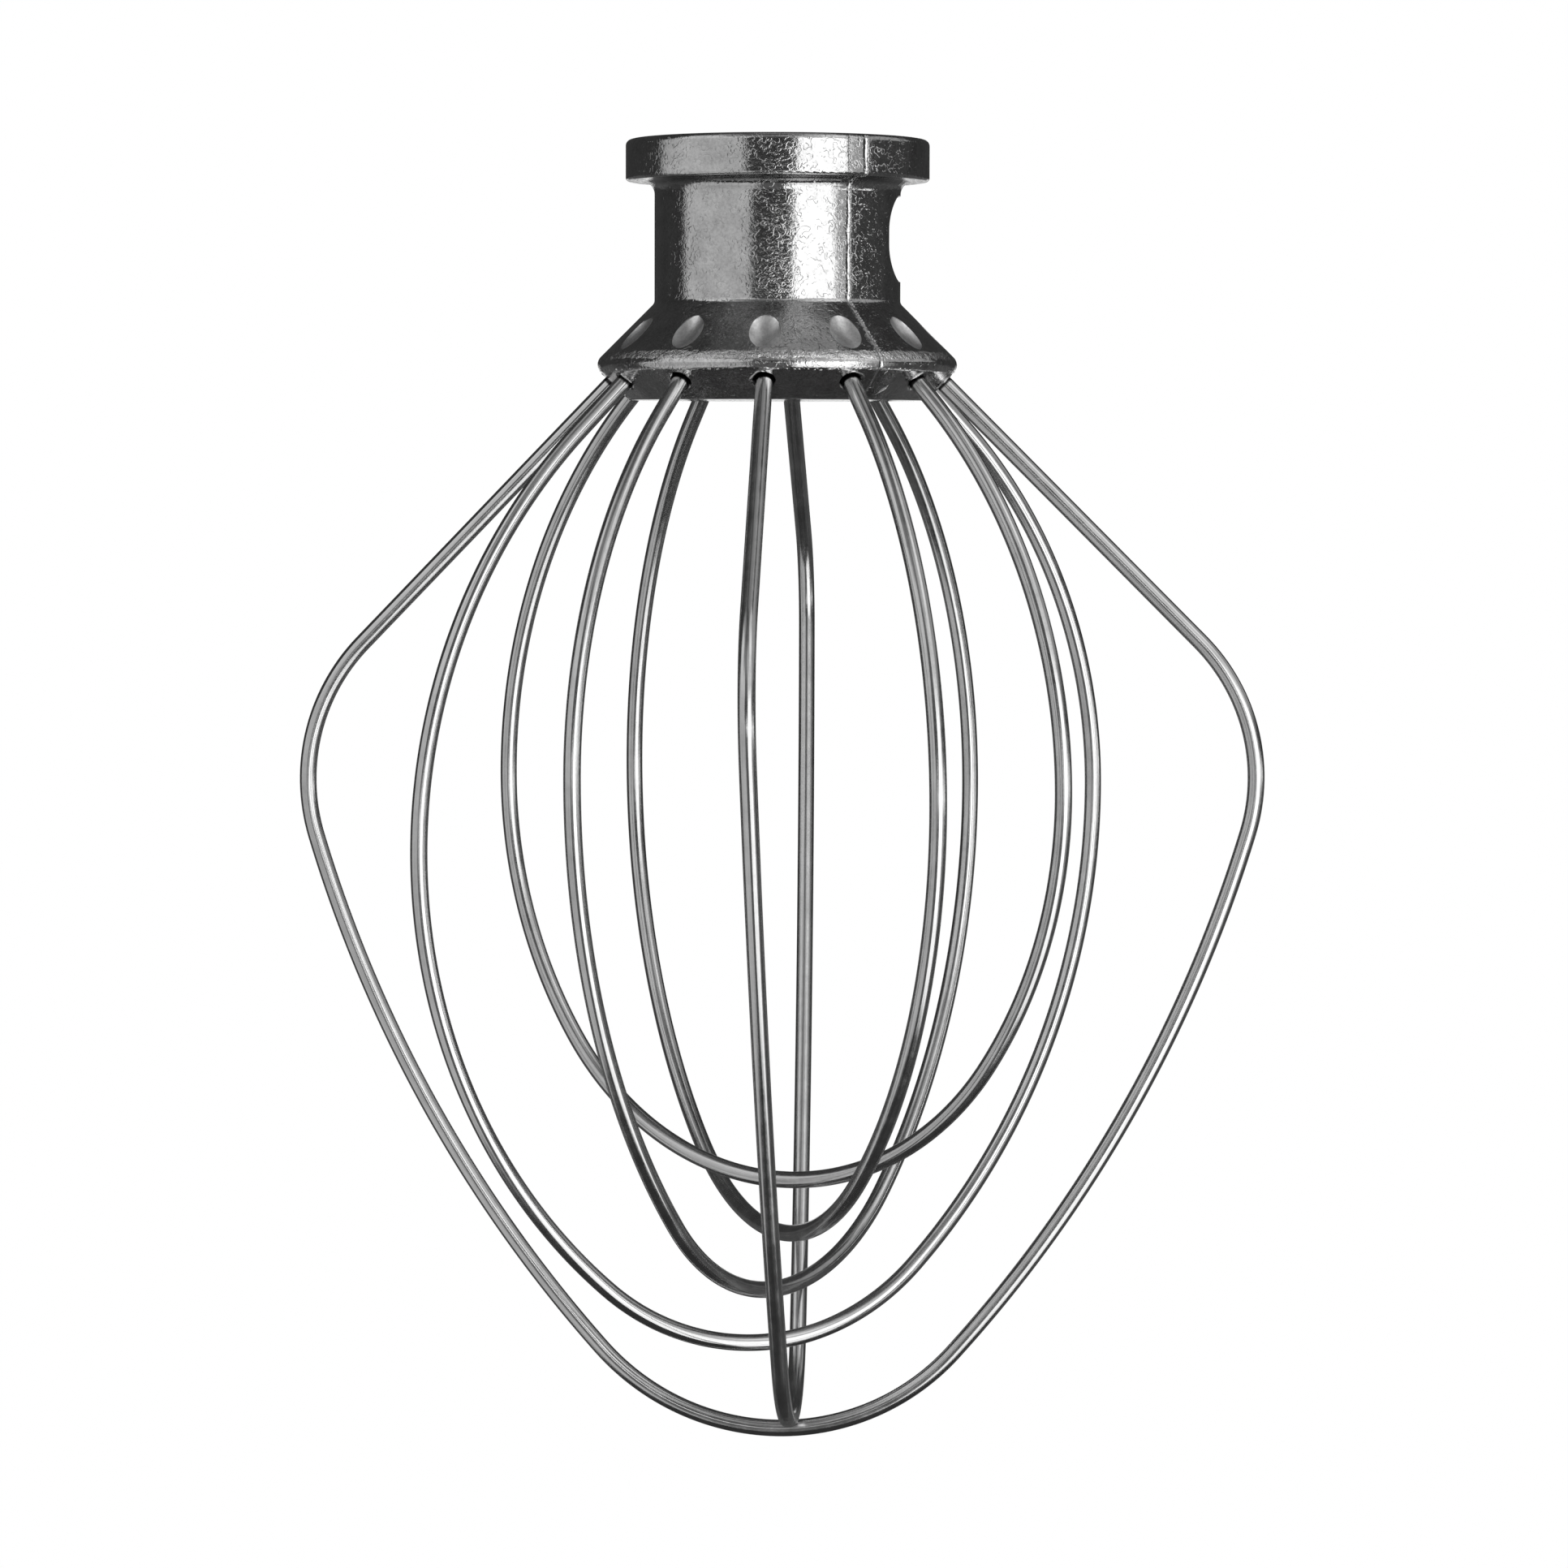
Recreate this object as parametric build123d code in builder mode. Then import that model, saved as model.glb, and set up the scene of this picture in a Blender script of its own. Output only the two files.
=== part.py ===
from build123d import *
from dataclasses import dataclass
from math import asin, atan2, cos, degrees, pi, radians, sin, tan
import os

# A wire whisk for a stand mixer: a cast hub that slides onto the beater shaft, and six bent
# wire loops set in its lower face. Millimetres. The origin is the middle of the bore's mouth
# on top of the collar, +Z is up and the loops hang below. The outermost loop lies in XZ.

# Hub, from the collar down to its foot; the skirt's angle is from plumb
COLLAR_HEIGHT = 4.85
COLLAR_FLANGE = 3.4
COLLAR_TOP_ROUND = 0.7
COLLAR_EDGE_ROUND = 0.4
NECK_RADIUS = 14.5
NECK_LENGTH = 14.3
NECK_FILLET = 1.5
SKIRT_ANGLE = 45.0
SKIRT_FLARE = 6.7
SKIRT_FILLET = 0.8
RIM_LAND = 1.05
END_FACE_WIDTH = 5.18
FOOT_ROUND = 0.5

# Bore for the shaft, keyway and side window for the shaft's cross pin; the window's corners are
# rounded by a share of its height
BORE_RADIUS = 6.5
BORE_FLOOR = 4.1
BORE_LEAD_IN = 0.4
PIN_DIAMETER = 4.8
PIN_CLEARANCE = 0.2
PIN_TURN = 40.0
KEYWAY_REACH = 11.0
WINDOW_AZIMUTH = 6.0
WINDOW_BELOW_COLLAR = 1.7
WINDOW_ABOVE_SKIRT = 2.5
WINDOW_MARGIN = 0.3
WINDOW_ROUNDING = 0.42

# Wires and their sockets in the end face
WIRE_DIAMETER = 2.0
SOCKET_CLEARANCE = 0.1
SOCKET_DEPTH = 8.5
SOCKET_END_GAP = 0.3
SOCKET_OUTSET = 0.4
SOCKET_FLARE = 0.3
FLARE_ANGLE = 60.0

# Punch marks on the skirt, one above each socket, that hold the wires in
MARK_WIDTH = 3.8
MARK_LENGTH = 5.4
MARK_DEPTH = 0.65
MARK_FROM_RIM = 4.3

# The loops' bows, hung below the hub's foot
LOOP_DEPTH = 122.5
CROSSING_GAP = 0.15

# How far each loop's bow stands out beyond the sockets
LOOP_1_BULGE = 36.74
LOOP_2_BULGE = 26.34
LOOP_3_BULGE = 24.54
LOOP_4_BULGE = 22.04
LOOP_5_BULGE = 22.04
LOOP_6_BULGE = 20.24

# How far each of the inner loops ends above the next deeper one
LOOP_3_STEP = 8.3
LOOP_4_STEP = 6.3
LOOP_5_STEP = 7.0
LOOP_6_STEP = 6.2

# How far each loop's bow is set towards its front end
LOOP_1_OFFSET = 0.3
LOOP_2_OFFSET = 4.6
LOOP_3_OFFSET = 1.4
LOOP_4_OFFSET = -1.1
LOOP_5_OFFSET = 0.3


@dataclass
class Loop:
    """One bent wire: its place round the hub and its bends.

    azimuth is the front end's angle from +X, bulge how far the bow stands out beyond the sockets,
    and step the rise of its bottom above the next deeper loop's. straight is the share of the way
    out that the wire runs straight, before its shoulder. The slant is the angle from plumb of the
    line from the bow's widest point to its bottom: shoulder_end and side_end are the wire's own
    angles from plumb, as shares of the slant, where the shoulder passes into the long side and
    where that passes into the base. offset moves the bow towards the front end, lean tips it
    sideways, and droop is how much steeper its back end hangs than the skirt.
    """

    name: str
    azimuth: float
    bulge: float
    step: float
    straight: float
    shoulder_end: float
    side_end: float
    offset: float
    lean: float = 0.0
    droop: float = 0.0


LOOPS = (
    Loop(
        name="wire_loop_1",
        azimuth=0,
        bulge=LOOP_1_BULGE,
        step=0.0,
        straight=0.82,
        shoulder_end=0.46,
        side_end=1.16,
        offset=LOOP_1_OFFSET,
        droop=1.0,
    ),
    Loop(
        name="wire_loop_2",
        azimuth=-90,
        bulge=LOOP_2_BULGE,
        step=WIRE_DIAMETER + CROSSING_GAP,
        straight=0.83,
        shoulder_end=0.50,
        side_end=1.12,
        offset=LOOP_2_OFFSET,
        lean=1.0,
    ),
    Loop(
        name="wire_loop_3",
        azimuth=-150,
        bulge=LOOP_3_BULGE,
        step=LOOP_3_STEP,
        straight=0.22,
        shoulder_end=0.0,
        side_end=1.35,
        offset=LOOP_3_OFFSET,
    ),
    Loop(
        name="wire_loop_4",
        azimuth=-120,
        bulge=LOOP_4_BULGE,
        step=LOOP_4_STEP,
        straight=0.19,
        shoulder_end=0.0,
        side_end=1.24,
        offset=LOOP_4_OFFSET,
    ),
    Loop(
        name="wire_loop_5",
        azimuth=-60,
        bulge=LOOP_5_BULGE,
        step=LOOP_5_STEP,
        straight=0.19,
        shoulder_end=0.0,
        side_end=1.27,
        offset=LOOP_5_OFFSET,
    ),
    Loop(
        name="wire_loop_6",
        azimuth=-30,
        bulge=LOOP_6_BULGE,
        step=LOOP_6_STEP,
        straight=0.05,
        shoulder_end=0.0,
        side_end=0.88,
        offset=0.0,
    ),
)

# The hub's radii and levels; the wires run parallel to the skirt and square to the end face
skirt_out = sin(radians(SKIRT_ANGLE))
skirt_down = cos(radians(SKIRT_ANGLE))
collar_radius = NECK_RADIUS + COLLAR_FLANGE
rim_radius = NECK_RADIUS + SKIRT_FLARE
collar_foot = -COLLAR_HEIGHT
neck_foot = collar_foot - NECK_LENGTH
skirt_foot = neck_foot - SKIRT_FLARE * skirt_down / skirt_out
land_foot = skirt_foot - RIM_LAND
foot_radius = rim_radius - END_FACE_WIDTH * skirt_down
hub_foot = land_foot - END_FACE_WIDTH * skirt_out
rim_round = 0.95 * RIM_LAND / (tan(radians(SKIRT_ANGLE / 2)) + tan(radians(45 - SKIRT_ANGLE / 2)))

# The sockets, spaced evenly along the middle of the end face
mouth_from_rim = END_FACE_WIDTH / 2 - SOCKET_OUTSET
mouth_radius = rim_radius - mouth_from_rim * skirt_down
mouth_level = land_foot - mouth_from_rim * skirt_out
socket_radius = WIRE_DIAMETER / 2 + SOCKET_CLEARANCE
in_socket = SOCKET_DEPTH - SOCKET_END_GAP
socket_count = 2 * len(LOOPS)
socket_azimuths = [360 / socket_count * place for place in range(socket_count)]

os.makedirs("parts", exist_ok=True)


def outward(azimuth, radius, level):
    """The point at this angle from +X, this far from the axis and at this level."""
    return Vector(radius * cos(radians(azimuth)), radius * sin(radians(azimuth)), level)


def socket_plane(azimuth):
    """The plane of a socket's mouth, facing out of the end face along the wire."""
    return Plane(
        origin=outward(azimuth, mouth_radius, mouth_level),
        z_dir=outward(azimuth, skirt_out, -skirt_down),
    )


# The tip of the punch: a ball drawn out along the skirt
punch_radius = ((MARK_WIDTH / 2) ** 2 + MARK_DEPTH**2) / (2 * MARK_DEPTH)
punch_reach = punch_radius * MARK_LENGTH / MARK_WIDTH
with BuildPart() as punch:
    with BuildSketch(Plane.XZ):
        Ellipse(punch_radius, punch_reach)
        Rectangle(punch_radius, 2 * punch_reach, align=(Align.MAX, Align.CENTER), mode=Mode.SUBTRACT)
    revolve(axis=Axis.Z)


def punch_plane(azimuth):
    """The plane through the punch's middle at its mark, square to the skirt's slope."""
    stand_off = punch_radius - MARK_DEPTH
    radius = rim_radius - MARK_FROM_RIM * skirt_out + stand_off * skirt_down
    level = skirt_foot + MARK_FROM_RIM * skirt_down + stand_off * skirt_out
    return Plane(
        origin=outward(azimuth, radius, level),
        z_dir=outward(azimuth, skirt_out, -skirt_down),
    )


# Hub: a turned outline with the punch marks, the bore, the pin's way in and the wire sockets
with BuildPart() as hub:
    with BuildSketch(Plane.XZ):
        with BuildLine():
            outline = FilletPolyline(
                (0, 0),
                (collar_radius, 0),
                (collar_radius, collar_foot),
                (NECK_RADIUS, collar_foot),
                (NECK_RADIUS, neck_foot),
                (rim_radius, skirt_foot),
                (rim_radius, land_foot),
                (foot_radius, hub_foot),
                (0, hub_foot),
                radius=[
                    COLLAR_TOP_ROUND,
                    COLLAR_EDGE_ROUND,
                    NECK_FILLET,
                    SKIRT_FILLET,
                    rim_round,
                    rim_round,
                    FOOT_ROUND,
                ],
            )
            Line(outline @ 1, outline @ 0)
        make_face()
    revolve(axis=Axis.Z)

    with Locations(*[punch_plane(azimuth) for azimuth in socket_azimuths]):
        add(punch.part, mode=Mode.SUBTRACT)

    with Locations((0, 0, 0)):
        Hole(BORE_RADIUS, -hub_foot - BORE_FLOOR)
    top_edges = hub.edges().filter_by(GeomType.CIRCLE).group_by(Axis.Z)[-1]
    chamfer(top_edges.sort_by(SortBy.RADIUS)[0], BORE_LEAD_IN)

    # The pin drops down the keyway and turns along the window
    pin_way = PIN_DIAMETER + 2 * PIN_CLEARANCE
    pin_swing = PIN_TURN / 2
    swept = pin_swing + degrees(asin(pin_way / 2 / BORE_RADIUS))
    window_top = collar_foot - WINDOW_BELOW_COLLAR
    window_foot = neck_foot + WINDOW_ABOVE_SKIRT
    window_height = window_top - window_foot
    window_width = 2 * (KEYWAY_REACH * sin(radians(pin_swing)) + pin_way / 2 + WINDOW_MARGIN)
    window_back = outward(WINDOW_AZIMUTH, BORE_RADIUS * cos(radians(swept)), (window_top + window_foot) / 2)
    with BuildSketch(Plane(origin=window_back, x_dir=(0, 0, 1), z_dir=outward(WINDOW_AZIMUTH, 1, 0))):
        RectangleRounded(window_height, window_width, WINDOW_ROUNDING * window_height)
    extrude(amount=collar_radius, mode=Mode.SUBTRACT)
    with BuildSketch(Plane.XY.rotated((0, 0, WINDOW_AZIMUTH + pin_swing))):
        with Locations((KEYWAY_REACH / 2, 0)):
            Rectangle(KEYWAY_REACH, pin_way)
    extrude(amount=window_foot, mode=Mode.SUBTRACT)

    with Locations(*[socket_plane(azimuth) for azimuth in socket_azimuths]):
        CounterSinkHole(socket_radius, socket_radius + SOCKET_FLARE, SOCKET_DEPTH, FLARE_ANGLE)
hub.part.label = "hub"
export_step(hub.part, "parts/hub.step")


def bow_side(loop, droop, reach, drop, base_shift):
    """One side of a loop: the length of its straight lead, and its bends as (radius, turn).

    The side leads out and down at the skirt's angle less its droop, which turns about the middle
    of the wire's length in the socket. The shoulder carries it out to reach. The radii of the long
    side and of the base then bring it to base_shift from the axis, drop below the mouth, where it
    runs level.
    """
    lead_angle = SKIRT_ANGLE - droop
    lead_out = sin(radians(lead_angle))
    lead_down = cos(radians(lead_angle))
    way_out = reach - mouth_radius - in_socket / 2 * (lead_out - skirt_out)
    lead = loop.straight * way_out / lead_out
    shoulder = (1 - loop.straight) * way_out / (1 - lead_down)
    left_to_drop = drop - in_socket / 2 * (lead_down - skirt_down) - lead * lead_down - shoulder * lead_out
    slant = atan2(reach - base_shift, left_to_drop)
    first = loop.shoulder_end * slant
    second = loop.side_end * slant
    inward = reach - base_shift - shoulder * (1 - cos(first))
    downward = left_to_drop - shoulder * sin(first)
    spread = cos(first) - cos(second)
    fall = sin(second) - sin(first)
    share = spread * (1 - sin(second)) - fall * cos(second)
    side = (inward * (1 - sin(second)) - downward * cos(second)) / share
    base = (spread * downward - fall * inward) / share
    turns = lead_angle + degrees(first), degrees(second - first), 90 - degrees(second)
    return lead, list(zip((shoulder, side, base), turns))


# Wire loops, from the deepest to the shallowest; each runs from one socket to the one opposite
end_radius = mouth_radius - in_socket * skirt_out
end_height = in_socket * skirt_down
rise = 0.0
for loop in LOOPS:
    rise += loop.step
    drop = mouth_level - (hub_foot - LOOP_DEPTH + rise)
    half_width = mouth_radius + loop.bulge
    front_lead, front_bends = bow_side(loop, 0.0, half_width + loop.offset, drop, loop.offset)
    back_lead, back_bends = bow_side(loop, loop.droop, half_width - loop.offset, drop, -loop.offset)
    along_loop = outward(loop.azimuth, 1, 0)
    sideways = outward(loop.azimuth + 90, sin(radians(loop.lean)), 0)
    upright = Vector(0, 0, cos(radians(loop.lean))) - sideways
    # A lean turns about the middle of the sockets, so the ends stay in them
    middle = Vector(0, 0, mouth_level) + sideways * (end_height / 2)
    with BuildPart() as wire:
        with BuildLine(Plane(origin=middle, x_dir=along_loop, z_dir=along_loop.cross(upright))) as path:
            run = PolarLine((end_radius, end_height), in_socket + front_lead, SKIRT_ANGLE - 90)
            for radius, turn in front_bends + back_bends[::-1]:
                run = JernArc(run @ 1, run % 1, radius, -turn)
            PolarLine(run @ 1, back_lead + in_socket, direction=run % 1)
        with BuildSketch(path.line ^ 0):
            Circle(WIRE_DIAMETER / 2)
        sweep(path=path.line)
    wire.part.label = loop.name
    export_step(wire.part, f"parts/{loop.name}.step")
    wire_length = sum(edge.length for edge in path.edges())
    filled = wire.part.volume / (pi * (WIRE_DIAMETER / 2) ** 2 * wire_length)
    print(f"{loop.name}: {wire_length:.1f} mm of wire, volume over section times length {filled:.4f}")
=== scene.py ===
import logging
import math
from dataclasses import dataclass
from enum import Enum
from functools import cached_property

import bmesh
import bpy
import numpy as np
from mathutils import Matrix, Vector


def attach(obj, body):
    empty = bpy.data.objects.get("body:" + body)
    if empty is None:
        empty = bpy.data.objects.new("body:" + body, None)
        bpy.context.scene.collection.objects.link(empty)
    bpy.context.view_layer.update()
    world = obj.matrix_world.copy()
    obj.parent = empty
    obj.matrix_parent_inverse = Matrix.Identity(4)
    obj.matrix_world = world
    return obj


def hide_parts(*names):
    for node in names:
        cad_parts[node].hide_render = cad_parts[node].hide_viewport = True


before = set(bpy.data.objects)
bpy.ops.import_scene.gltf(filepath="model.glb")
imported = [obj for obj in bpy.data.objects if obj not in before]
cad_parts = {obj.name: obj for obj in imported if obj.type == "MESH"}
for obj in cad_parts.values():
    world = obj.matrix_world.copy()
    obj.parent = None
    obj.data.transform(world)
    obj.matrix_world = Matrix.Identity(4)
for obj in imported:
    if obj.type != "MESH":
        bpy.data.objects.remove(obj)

# The dressed whisk: drawn wires as fine tubes, the cast hub with its parting ridges, rim flash,
# face strands and socket lips, and a white studio. Sizes are in millimetres, meshes in metres.

MM = 0.001
LOG = logging.getLogger("whisk")
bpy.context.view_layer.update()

Material = bpy.types.Material
Pair = tuple[float, float]
Piece = bpy.types.Object
Shape = tuple[np.ndarray, list]
Socket = bpy.types.NodeSocket

# The span that most heights of a noise keep to
NOISE_SPAN = (0.3, 0.7)
# Points nearer than this, in metres, are one
POLE_GAP = 1e-8
# Sine and cosine of the slope of the skirt and of the end face
DIAGONAL = math.sqrt(0.5)


class Slot(Enum):
    """The record's material slots."""

    HUB = "cast_hub"
    WIRE = "wire"


def wave_noise(angle: np.ndarray, counts: tuple[int, ...], seed: int) -> np.ndarray:
    """Smooth noise round a closed ring: a sum of sines with whole wave counts and random phases.

    noise(a) = sum over counts k of sin(k a + phase_k) / sqrt(number of counts)

    Args:
        angle: Angles in radians.
        counts: Whole numbers of waves in a full turn.
        seed: Seed of the phases.

    Returns:
        Values of about unit spread, in the shape of angle.
    """
    phases = np.random.default_rng(seed).uniform(0.0, 2.0 * np.pi, len(counts))
    waves = np.sin(np.multiply.outer(angle, np.array(counts)) + phases)
    return waves.sum(axis=-1) / math.sqrt(len(counts))


def swelling(noise: np.ndarray, middle: float, spread: float, least: float, most: float) -> np.ndarray:
    """A share that follows a noise: middle + spread noise, held between least and most."""
    return np.clip(middle + spread * noise, least, most)


def polar(angle: np.ndarray, radius: np.ndarray = 1.0, level: np.ndarray = 0.0) -> np.ndarray:
    """Points (radius cos angle, radius sin angle, level), with the three in the last axis."""
    parts = np.broadcast_arrays(radius * np.cos(angle), radius * np.sin(angle), level)
    return np.stack(parts, axis=-1)


def grid_faces(rings: int, sides: int, closed: bool) -> np.ndarray:
    """Quads of a grid of rings, each ring closed on itself.

    Args:
        rings: Number of rings.
        sides: Points in each ring.
        closed: Whether the last ring joins the first.

    Returns:
        Vertex indices, one row of four for each quad.
    """
    count = rings if closed else rings - 1
    ring = np.arange(count)[:, None]
    side = np.arange(sides)[None, :]
    after = (ring + 1) % rings
    beside = (side + 1) % sides
    corners = (
        ring * sides + side,
        ring * sides + beside,
        after * sides + beside,
        after * sides + side,
    )
    return np.stack([np.broadcast_to(c, (count, sides)) for c in corners], axis=-1).reshape(-1, 4)


def tube_points(
    centre: np.ndarray, across: np.ndarray, upward: np.ndarray, reach: np.ndarray, sides: int
) -> np.ndarray:
    """Rings of a round or oval profile carried along a path.

    point(i, j) = centre_i + reach_i (cos a_j across_i + sin a_j upward_i), with a_j = 2 pi j / sides

    Args:
        centre: Path points, n by 3.
        across: Vectors square to the path, n by 3.
        upward: Vectors square to both, n by 3.
        reach: Radii at the path points, in lengths of the vectors, n.
        sides: Points in each ring.

    Returns:
        Points, n by sides by 3.
    """
    angle = 2.0 * np.pi * np.arange(sides) / sides
    cosine = np.cos(angle)[None, :, None]
    sine = np.sin(angle)[None, :, None]
    ring = cosine * across[:, None, :] + sine * upward[:, None, :]
    return centre[:, None, :] + reach[:, None, None] * ring


def close_poles(mesh: bpy.types.Mesh) -> None:
    """Merges each ring that has shrunk to one place, so that tapered ends are closed.

    Args:
        mesh: The mesh to mend.
    """
    work = bmesh.new()
    work.from_mesh(mesh)
    bmesh.ops.remove_doubles(work, verts=work.verts, dist=POLE_GAP)
    work.to_mesh(mesh)
    work.free()


def add_piece(
    name: str, points: np.ndarray, faces: list, material: Material, tapered: bool = False
) -> Piece:
    """A smooth-shaded mesh object at the origin.

    Args:
        name: Name of the piece.
        points: Points in metres, n by 3.
        faces: Faces as lists of vertex indices.
        material: Its finish.
        tapered: Whether its ends shrink to points.

    Returns:
        The new object, linked to the scene.
    """
    mesh = bpy.data.meshes.new(name)
    mesh.from_pydata(points.tolist(), [], faces)
    if tapered:
        close_poles(mesh)
    mesh.polygons.foreach_set("use_smooth", np.ones(len(mesh.polygons), dtype=bool))
    mesh.materials.append(material)
    mesh.update()
    piece = bpy.data.objects.new(name, mesh)
    bpy.context.scene.collection.objects.link(piece)
    return piece


class NodeBoard:
    """A new node material, with short calls to add and join its nodes."""

    def __init__(self, name: str) -> None:
        """Makes the material and clears its nodes."""
        self.material = bpy.data.materials.new(name)
        self.material.use_nodes = True
        self.tree = self.material.node_tree
        self.tree.nodes.clear()

    def add(self, kind: str, **values: object) -> bpy.types.Node:
        """A node of this kind, with its properties and sockets set by name.

        Args:
            kind: Blender's name of the node's type.
            values: Properties, or sockets with spaces written as underscores.

        Returns:
            The new node.
        """
        node = self.tree.nodes.new(kind)
        for key, value in values.items():
            socket = node.inputs.get(key.replace("_", " "))
            if socket is None:
                setattr(node, key, value)
            else:
                socket.default_value = value
        return node

    @cached_property
    def place(self) -> Socket:
        """Object coordinates."""
        return self.add("ShaderNodeTexCoord").outputs["Object"]

    def join(self, source: Socket, target: Socket) -> None:
        """Links an output to an input."""
        self.tree.links.new(source, target)

    def math(self, operation: str, first: object, second: object = 0.0) -> Socket:
        """A Math node's result, with each operand a number or an output.

        Args:
            operation: Blender's name of the operation.
            first: First operand.
            second: Second operand.

        Returns:
            The node's output.
        """
        node = self.add("ShaderNodeMath", operation=operation)
        for socket, operand in zip(node.inputs, (first, second)):
            if isinstance(operand, Socket):
                self.join(operand, socket)
            else:
                socket.default_value = operand
        return node.outputs[0]

    def squares(self, first: Socket, second: Socket) -> Socket:
        """The sum of two squares."""
        return self.math("ADD", self.math("POWER", first, 2.0), self.math("POWER", second, 2.0))

    def split(self, vector: Socket) -> tuple[Socket, ...]:
        """The three parts of a vector.

        Args:
            vector: The output to split.

        Returns:
            The parts' outputs.
        """
        node = self.add("ShaderNodeSeparateXYZ")
        self.join(vector, node.inputs[0])
        return tuple(node.outputs)

    def spread(self, value: Socket, low: float, high: float, to: Pair) -> Socket:
        """A value mapped from low and high to the two ends in to, and held at them beyond.

        Args:
            value: The output to map.
            low: Input at the first end.
            high: Input at the second end.
            to: The two ends.

        Returns:
            The mapped output.
        """
        node = self.add("ShaderNodeMapRange", From_Min=low, From_Max=high, To_Min=to[0], To_Max=to[1])
        self.join(value, node.inputs["Value"])
        return node.outputs["Result"]

    def scale(self, value: Socket, by: Socket, low: float, high: float, to: Pair) -> Socket:
        """A value times another one's spread."""
        return self.math("MULTIPLY", value, self.spread(by, low, high, to))

    def noise(self, vector: Socket, scale: float, detail: float, rough: float) -> Socket:
        """A noise pattern's height.

        Args:
            vector: Coordinates.
            scale: Features in a unit of the coordinates.
            detail: Octaves.
            rough: Share of each finer octave.

        Returns:
            The noise output, from about 0.2 to 0.8.
        """
        node = self.add("ShaderNodeTexNoise", Scale=scale, Detail=detail, Roughness=rough)
        self.join(vector, node.inputs["Vector"])
        return node.outputs[0]

    def grey(self, value: Socket) -> Socket:
        """A neutral colour of this value."""
        node = self.add("ShaderNodeCombineColor")
        for socket in node.inputs:
            self.join(value, socket)
        return node.outputs[0]

    def bump(self, height: Socket, distance: float, below: Socket | None = None) -> Socket:
        """A bumped normal.

        Args:
            height: Height from 0 to 1.
            distance: What a height of 1 stands for, in metres.
            below: A normal to bump further.

        Returns:
            The normal output.
        """
        node = self.add("ShaderNodeBump", Strength=1.0, Distance=distance)
        self.join(height, node.inputs["Height"])
        if below is not None:
            self.join(below, node.inputs["Normal"])
        return node.outputs[0]

    def finish(self, shader: bpy.types.Node) -> Material:
        """Joins the shader to the output and returns the material."""
        output = self.add("ShaderNodeOutputMaterial")
        self.join(shader.outputs[0], output.inputs["Surface"])
        return self.material


@dataclass(frozen=True)
class Mottle:
    """A noise over an object: its features' size in millimetres, octaves, and finer octaves' share."""

    size: float
    octaves: float
    share: float

    def on(self, board: NodeBoard) -> Socket:
        """The noise's height over the object."""
        return board.noise(board.place, 1.0 / (self.size * MM), self.octaves, self.share)


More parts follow.
